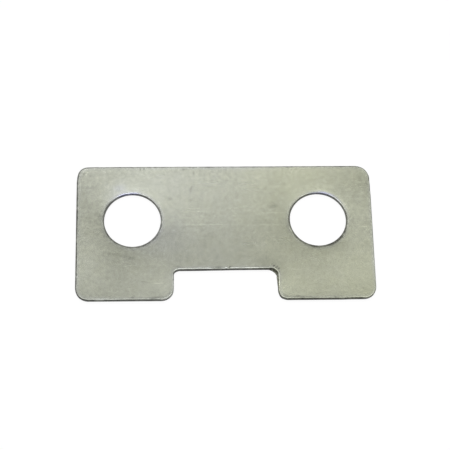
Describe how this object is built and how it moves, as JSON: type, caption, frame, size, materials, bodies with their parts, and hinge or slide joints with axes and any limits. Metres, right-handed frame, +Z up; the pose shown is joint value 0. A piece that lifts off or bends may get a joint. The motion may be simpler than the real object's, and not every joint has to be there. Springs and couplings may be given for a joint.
{
  "type": "shim",
  "caption": "Flat sheet-steel shim with round bolt holes and a shallow notch in one long edge, lying on its underside.",
  "frame": {"origin": "middle of the plate's outline box, on its underside", "axes": "+X along the length to the right, +Y towards the back edge, so that the notch opens to -Y, +Z up out of the face with the rolled rims"},
  "size_m": [0.11, 0.0532, 0.0015],
  "materials": {
    "steel": "bare cold-rolled sheet, fine lengthwise brushing, dull sheared edges with a brighter rolled rim"
  },
  "bodies": {
    "root": {"shim_plate": "steel"}
  },
  "joints": []
}
